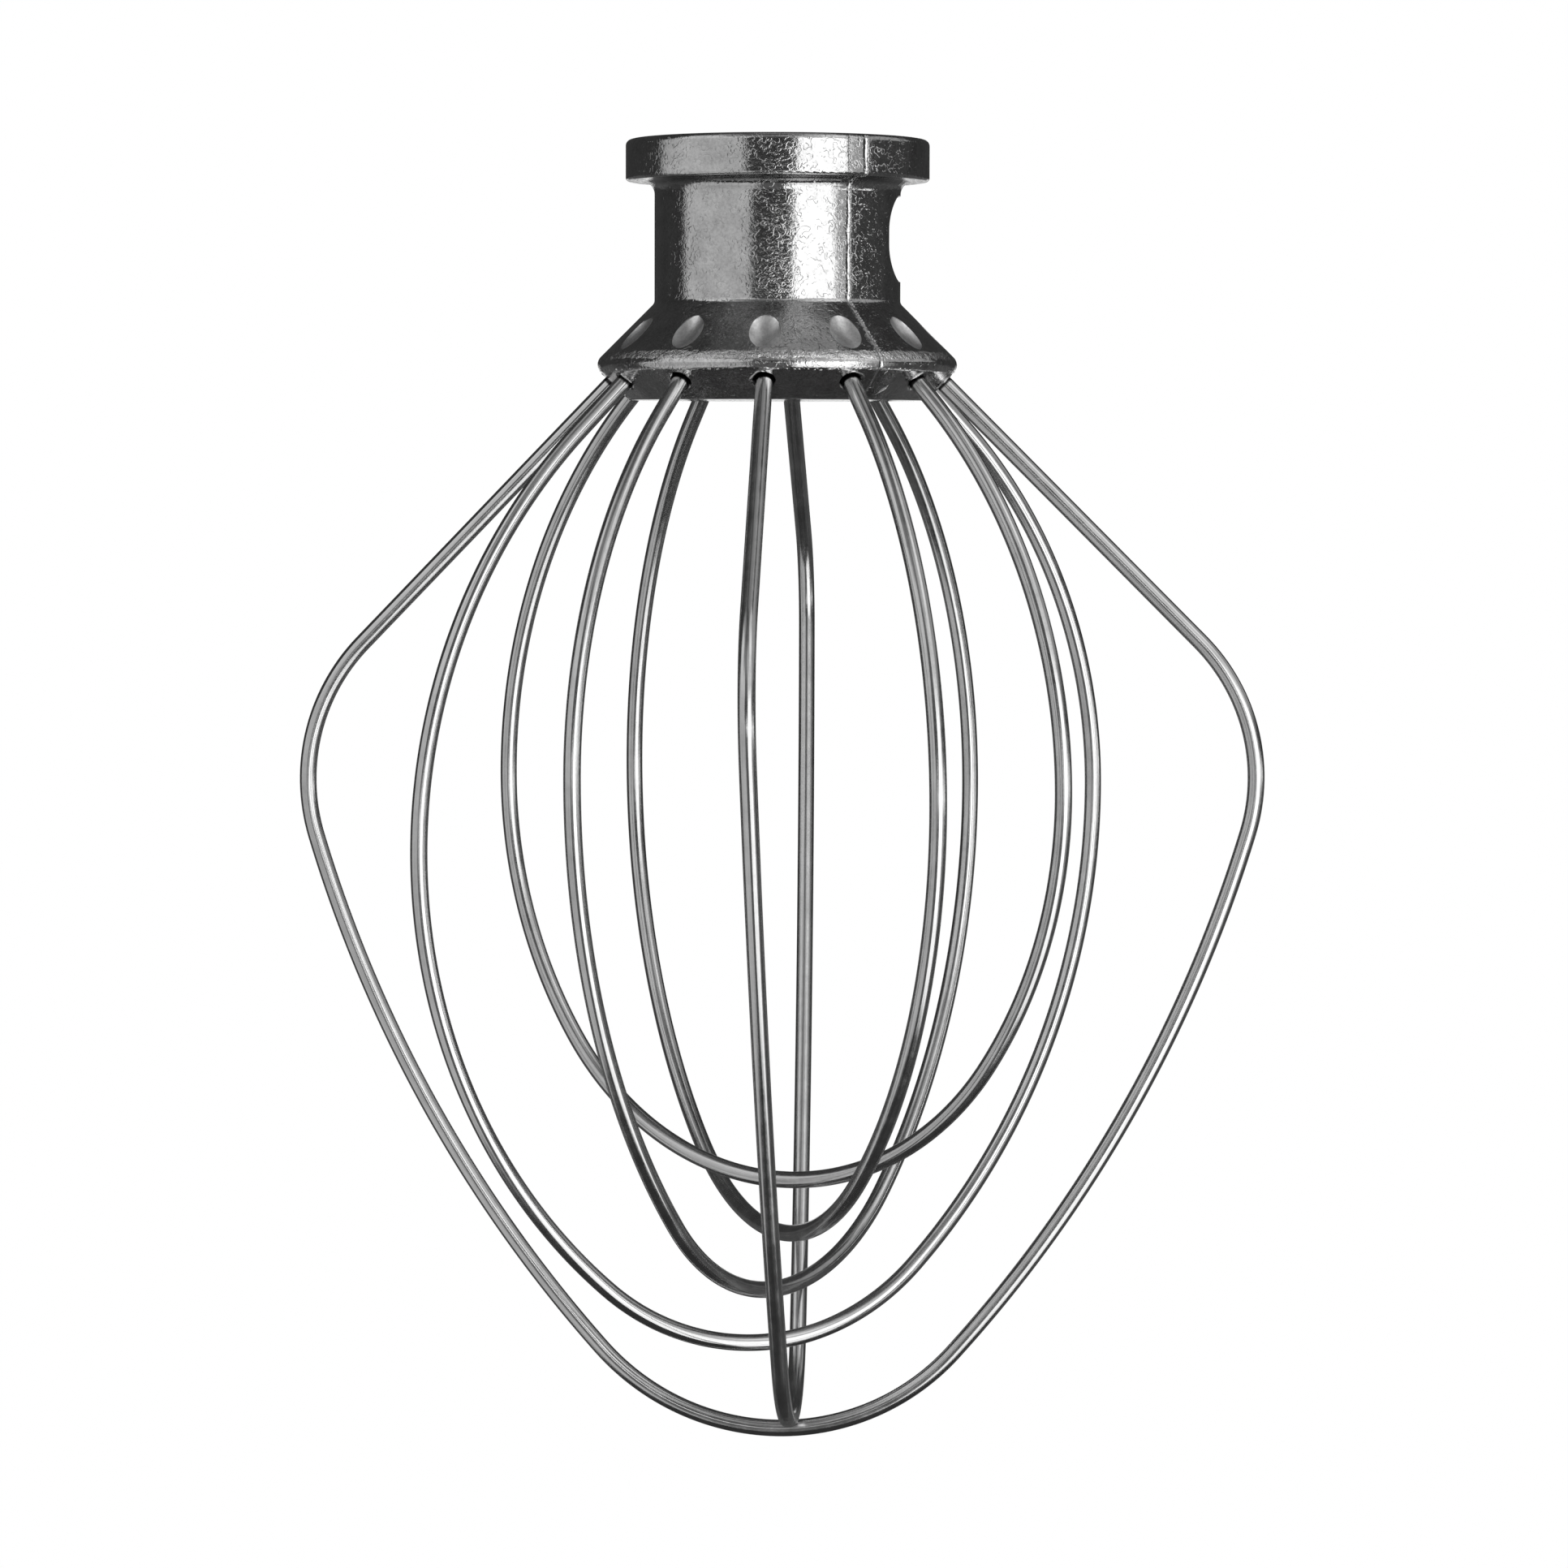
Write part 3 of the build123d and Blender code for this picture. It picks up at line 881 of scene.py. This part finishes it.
@dataclass
class WireLoop:
    """One bent wire, from its socket out along the skirt's slope, round its bow and back.

    azimuth is the front end's angle from +X and depth the level of the bow's lowest centre line.
    straight, shoulder_end and side_end are shares: of the way out that is straight, and of the
    slant from the widest point to the bottom where one bend passes into the next. droop is how
    much steeper the back end hangs than the skirt, turned about the middle of its socket.
    """

    name: str
    azimuth: float
    bulge: float
    depth: float
    straight: float
    shoulder_end: float
    side_end: float
    offset: float = 0.0
    lean: float = 0.0
    droop: float = 0.0
    radius: float = 1.0
    in_socket: float = 8.2
    slope: float = 45.0
    sides: int = 32
    spacing: float = 0.8

    def bends(self, mouth: Pair, front: bool) -> list[tuple[float, float, float]]:
        """One side's runs, from the socket's end to the bottom.

        The shoulder carries the wire out to its reach. The radii of the long side and of the base
        solve two sums: their inward steps reach the middle, and their downward steps the bottom.

        Args:
            mouth: Radius and level of the socket's mouth.
            front: Whether it is the front side.

        Returns:
            Length, bend radius (0 for a straight run) and turn in radians of each run.
        """
        shift = self.offset if front else -self.offset
        socket = math.radians(self.slope)
        aim = socket if front else math.radians(self.slope - self.droop)
        half = self.in_socket / 2.0
        way = self.bulge + shift - half * (math.sin(aim) - math.sin(socket))
        lead = self.straight * way / math.sin(aim)
        shoulder = (1.0 - self.straight) * way / (1.0 - math.cos(aim))
        start = mouth[1] - half * (math.cos(aim) - math.cos(socket))
        fall = start - self.depth - lead * math.cos(aim) - shoulder * math.sin(aim)
        across = mouth[0] + self.bulge
        slant = math.atan2(across, fall)
        first, second = self.shoulder_end * slant, self.side_end * slant
        inward = across - shoulder * (1.0 - math.cos(first))
        downward = fall - shoulder * math.sin(first)
        sums = np.array(
            [
                [math.cos(first) - math.cos(second), math.cos(second)],
                [math.sin(second) - math.sin(first), 1.0 - math.sin(second)],
            ]
        )
        side, base = np.linalg.solve(sums, np.array([inward, downward]))
        turns = (aim + first, second - first, math.pi / 2.0 - second)
        arcs = [(r * t, r, t) for r, t in zip((shoulder, float(side), float(base)), turns)]
        return [(self.in_socket + lead, 0.0, 0.0), *arcs]

    def path(self, mouth: Pair) -> tuple[np.ndarray, np.ndarray, np.ndarray]:
        """The centre line in the loop's own plane, its heading and the distance along it.

        On a bend of radius R, heading(s) = heading_0 - s / R, and the point moves by
        R (sin heading_0 - sin heading, cos heading - cos heading_0).

        Args:
            mouth: Radius and level of the sockets' mouths.

        Returns:
            Points n by 2 from the mouths' level, headings in radians, and distances, in millimetres.
        """
        runs = self.bends(mouth, True) + self.bends(mouth, False)[::-1]
        sine, cosine = math.sin(math.radians(self.slope)), math.cos(math.radians(self.slope))
        here = np.array([mouth[0] - self.in_socket * sine, self.in_socket * cosine])
        heading, gone = math.radians(self.slope - 90.0), 0.0
        points, headings, distances = [here[None]], [np.array([heading])], [np.zeros(1)]
        for length, radius, turn in runs:
            steps = max(2, math.ceil(length / self.spacing))
            along = length * np.arange(1, steps + 1) / steps
            if radius > 0.0:
                aims = heading - along / radius
                moved = radius * np.stack(
                    [math.sin(heading) - np.sin(aims), np.cos(aims) - math.cos(heading)], axis=1
                )
            else:
                aims = np.full(steps, heading)
                moved = along[:, None] * np.array([math.cos(heading), math.sin(heading)])
            points.append(here + moved)
            headings.append(aims)
            distances.append(gone + along)
            here, heading, gone = points[-1][-1], heading - turn, gone + length
        return np.vstack(points), np.concatenate(headings), np.concatenate(distances)

    def build(self, mouth: Pair, metal: Material) -> Piece:
        """The wire as a fine tube round its centre line, with a UV map along and round it.

        Args:
            mouth: Radius and level of the sockets' mouths.
            metal: The wire's finish.

        Returns:
            The new piece.
        """
        line, heading, distance = self.path(mouth)
        azimuth, lean = math.radians(self.azimuth), math.radians(self.lean)
        along = polar(azimuth)
        tip = math.sin(lean) * polar(azimuth + math.pi / 2.0)
        upright = np.array([0.0, 0.0, math.cos(lean)]) - tip
        in_height = self.in_socket * math.cos(math.radians(self.slope))
        middle = np.array([0.0, 0.0, mouth[1]]) + tip * in_height / 2.0
        centre = middle + line[:, :1] * along + line[:, 1:] * upright
        across = -np.sin(heading)[:, None] * along + np.cos(heading)[:, None] * upright
        sideways = np.broadcast_to(np.cross(along, upright), across.shape)
        rings = len(centre)
        points = tube_points(centre, across, sideways, np.full(rings, self.radius), self.sides)
        quads = grid_faces(rings, self.sides, closed=False)
        first_cap = np.arange(self.sides)[::-1]
        last_cap = first_cap[::-1] + (rings - 1) * self.sides
        piece = add_piece(
            f"{self.name}_drawn",
            points.reshape(-1, 3) * MM,
            [*quads.tolist(), first_cap.tolist(), last_cap.tolist()],
            metal,
        )
        girth = 2.0 * math.pi * self.radius
        ring, side = quads // self.sides, quads % self.sides
        around = np.where((side == 0) & (side[:, 1:2] == 0), self.sides, side) / self.sides
        uv = np.stack([distance[ring] / girth, around], axis=-1).reshape(-1, 2)
        caps = np.zeros((2 * self.sides, 2))
        layer = piece.data.uv_layers.new(name="wire")
        layer.data.foreach_set("uv", np.vstack([uv, caps]).astype(np.float32).ravel())
        reach = np.minimum(distance, distance[-1] - distance) - self.in_socket
        values = piece.data.attributes.new("reach", "FLOAT", "POINT")
        values.data.foreach_set("value", np.repeat(reach, self.sides).astype(np.float32))
        return piece

    def dress(self, piece: Piece) -> None:
        """Seats the tube in place of its solid.

        Args:
            piece: The drawn wire.
        """
        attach(piece, "root")
        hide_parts(self.name)


@dataclass
class Cage:
    """The six loops, from the deepest to the shallowest."""

    loops: tuple[WireLoop, ...] = (
        WireLoop("wire_loop_1", 0.0, 36.74, -153.063, 0.82, 0.46, 1.16, 0.3, droop=1.0),
        WireLoop("wire_loop_2", -90.0, 26.34, -150.913, 0.83, 0.50, 1.12, 4.6, lean=1.0),
        WireLoop("wire_loop_3", -150.0, 24.54, -142.613, 0.22, 0.0, 1.35, 1.4),
        WireLoop("wire_loop_4", -120.0, 22.04, -136.313, 0.19, 0.0, 1.24, -1.1),
        WireLoop("wire_loop_5", -60.0, 22.04, -129.313, 0.19, 0.0, 1.27, 0.3),
        WireLoop("wire_loop_6", -30.0, 20.24, -123.113, 0.05, 0.0, 0.88),
    )

    def build(self, mouth: Pair, metal: Material) -> None:
        """Builds and seats every loop.

        Args:
            mouth: Radius and level of the sockets' mouths.
            metal: The wires' finish.
        """
        for loop in self.loops:
            piece = loop.build(mouth, metal)
            loop.dress(piece)
            LOG.info("%s: %d faces", piece.name, len(piece.data.polygons))


@dataclass(frozen=True)
class Card:
    """A studio card that only reflections see: a patch of a large ball round the whisk.

    left and right are angles from the camera's side and low and high from level, in degrees. glow
    is its light, and distance the ball's radius in metres.
    """

    name: str
    left: float
    right: float
    low: float
    high: float
    glow: float
    distance: float = 0.9
    columns: int = 25
    rows: int = 17

    def build(self, turn: float) -> Piece:
        """The card's mesh.

        point(a, e) = distance (cos e sin a, -cos e cos a, sin e)

        Args:
            turn: The camera's angle from -Y, in degrees.

        Returns:
            The new stage piece.
        """
        across = np.radians(np.linspace(self.left, self.right, self.columns) + turn)[None, :]
        height = np.radians(np.linspace(self.low, self.high, self.rows))[:, None]
        ball = polar(across - np.pi / 2.0, np.cos(height), np.sin(height))
        points = ball.reshape(-1, 3) * self.distance
        row = np.arange(self.rows - 1)[:, None] * self.columns
        corner = (row + np.arange(self.columns - 1)[None, :]).reshape(-1, 1)
        faces = corner + np.array([[0, self.columns, self.columns + 1, 1]])
        finish = StageTone(0.0, self.glow).material(self.name)
        card = add_piece(self.name, points, faces.tolist(), finish)
        card.visible_camera = False
        card.visible_diffuse = False
        card.visible_shadow = False
        return card


@dataclass
class Studio:
    """The white room, its floor and cards, and the camera.

    Places are in millimetres and angles in degrees: the camera stands at distance from the
    whisk's axis, turned from -Y, at this level, and looks down by pitch, right by yaw, with a roll.
    """

    turn: float = 4.5
    distance: float = 643.9
    level: float = -36.04
    pitch: float = 3.547
    yaw: float = 0.080
    roll: float = 0.12
    focal_pixels: float = 6700.0
    frame_pixels: float = 1932.0
    sensor: float = 36.0
    near_clip: float = 10.0
    floor_level: float = -1000.0
    floor_reach: float = 12000.0
    floor_sides: int = 96
    floor_finish: StageTone = StageTone(0.9, 0.1)

    def light(self) -> None:
        """An even white world."""
        world = bpy.data.worlds.new("white_room")
        world.use_nodes = True
        background = world.node_tree.nodes["Background"]
        background.inputs["Color"].default_value = (1.0, 1.0, 1.0, 1.0)
        background.inputs["Strength"].default_value = 1.0
        bpy.context.scene.world = world

    def floor(self) -> Piece:
        """A plain white floor, round and wide.

        Returns:
            The floor.
        """
        angle = 2.0 * np.pi * np.arange(self.floor_sides) / self.floor_sides
        rim = polar(angle, self.floor_reach, self.floor_level) * MM
        faces = [list(range(self.floor_sides))]
        floor = add_piece("floor", rim, faces, self.floor_finish.material("white_floor"))
        return floor

    def cards(self) -> list[Piece]:
        """The cards: panels beside the camera, and dark ones that give the metal its edges.

        Returns:
            The cards.
        """
        dark, soft, bright = 0.045, 0.60, 1.9
        cards = (
            Card("panel_left", -96, -25, -3, 12, soft),
            Card("panel_left_mid", -96, -6, -8, -3, soft),
            Card("panel_left_low", -98, -20, -28, -8, 0.50),
            Card("deep_left", -98, -20, -50, -28, 0.60),
            Card("panel_left_high", -86, -20, 12, 30, 0.75),
            Card("panel_right_high", 12, 71, 12, 30, 0.75),
            Card("panel_left_top", -86, -50, 30, 48, 0.85),
            Card("panel_left_inner", -50, 0, 30, 48, 0.25),
            Card("panel_right_inner", 0, 38, 30, 48, 0.55),
            Card("panel_right_top", 38, 71, 30, 48, 1.15),
            Card("panel_right", 15, 55, -3, 12, bright),
            Card("panel_right_mid", -6, 71, -8, -3, bright),
            Card("panel_right_side", 71, 100, -8, -4.5, bright),
            Card("panel_right_low", 12, 55, -28, -8, bright),
            Card("panel_right_fade", 55, 80, -28, -8, 0.35),
            Card("deep_right", 12, 66, -50, -28, 1.5),
            Card("deep_right_fade", 66, 80, -50, -28, 0.20),
            Card("panel_right_edge", 55, 71, -3, 12, 0.50),
            Card("lens_shade", -25, 15, -3, 12, 0.05),
            Card("lens_top", -20, 12, 12, 30, 0.14),
            Card("low_front", -20, 12, -50, -8, 0.12),
            Card("dark_left", -166, -96, -8, 12, dark),
            Card("dark_left_high", -166, -86, 12, 48, dark),
            Card("shade_right", 71, 120, -4.5, 10, 0.06),
            Card("shade_right_low", 100, 120, -8, -4.5, 0.06),
            Card("side_high", 71, 120, 10, 48, 0.40),
            Card("dark_right", 120, 166, -8, 48, dark),
            Card("dark_back", 166, 194, -2.2, 48, dark),
            Card("low_back_right", 80, 128, -30, -8, 0.08),
            Card("low_back", 128, 232, -30, -8, 0.10),
            Card("low_back_left", 232, 262, -30, -8, 0.06),
            Card("deep_back", 80, 262, -50, -30, 0.08),
            Card("high_left", -86, -40, 48, 66, 0.35),
            Card("high_front", -40, 30, 48, 66, 0.14),
            Card("high_right", 30, 86, 48, 66, 0.75),
            Card("high_back", 86, 274, 48, 66, 0.05),
            Card("ceiling", -180, 180, 82, 90, 0.30),
            Card("ceiling_right", 20, 150, 66, 82, 0.30),
            Card("ceiling_left", 150, 380, 66, 82, 0.09),
            Card("under", -180, 180, -90, -50, 0.04),
        )
        return [card.build(self.turn) for card in cards]

    def camera(self) -> Piece:
        """The camera at the photograph's place.

        Its right axis is turned by the roll towards its up axis, and the lens is the focal length
        in pixels, as a share of the frame, times the sensor's width.

        Returns:
            The camera.
        """
        angles = (self.turn, self.pitch, self.yaw, self.roll)
        turn, pitch, yaw, roll = (math.radians(angle) for angle in angles)
        place = Vector((math.sin(turn), -math.cos(turn), 0.0)) * self.distance * MM
        place.z = self.level * MM
        right = Vector((math.cos(turn), math.sin(turn), 0.0))
        ahead = Vector((-math.sin(turn), math.cos(turn), 0.0))
        aim = (ahead * math.cos(yaw) + right * math.sin(yaw)) * math.cos(pitch)
        aim.z = -math.sin(pitch)
        level_right = right * math.cos(yaw) - ahead * math.sin(yaw)
        level_up = level_right.cross(aim)
        rolled_right = level_right * math.cos(roll) + level_up * math.sin(roll)
        rolled_up = level_up * math.cos(roll) - level_right * math.sin(roll)
        data = bpy.data.cameras.new("camera")
        data.sensor_fit = "HORIZONTAL"
        data.sensor_width = self.sensor
        data.lens = self.focal_pixels / self.frame_pixels * self.sensor
        data.clip_start = self.near_clip * MM
        camera = bpy.data.objects.new("camera", data)
        bpy.context.scene.collection.objects.link(camera)
        axes = Matrix((rolled_right, rolled_up, -aim)).transposed().to_4x4()
        camera.matrix_world = Matrix.Translation(place) @ axes
        bpy.context.scene.camera = camera
        return camera

    def build(self) -> None:
        """Sets up the light, the floor, the cards, the camera and the view."""
        self.light()
        self.floor()
        self.cards()
        self.camera()
        bpy.context.scene.view_settings.view_transform = "Standard"


def main() -> None:
    """Builds the hub's marks, the cage and the studio, and reports the faces of each mark and wire."""
    logging.basicConfig(level=logging.INFO, format="%(name)s %(message)s")
    cast = CastMetal().material("cast_hub_metal")
    wire = DrawnWire().material("drawn_wire")
    hub = Hub()
    marks = hub.build(cast)
    hub.dress(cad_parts["hub"], marks, cast)
    for mark in marks:
        LOG.info("%s: %d faces", mark.name, len(mark.data.polygons))
    Cage().build(hub.mouth, wire)
    Studio().build()


if __name__ == "__main__":
    main()
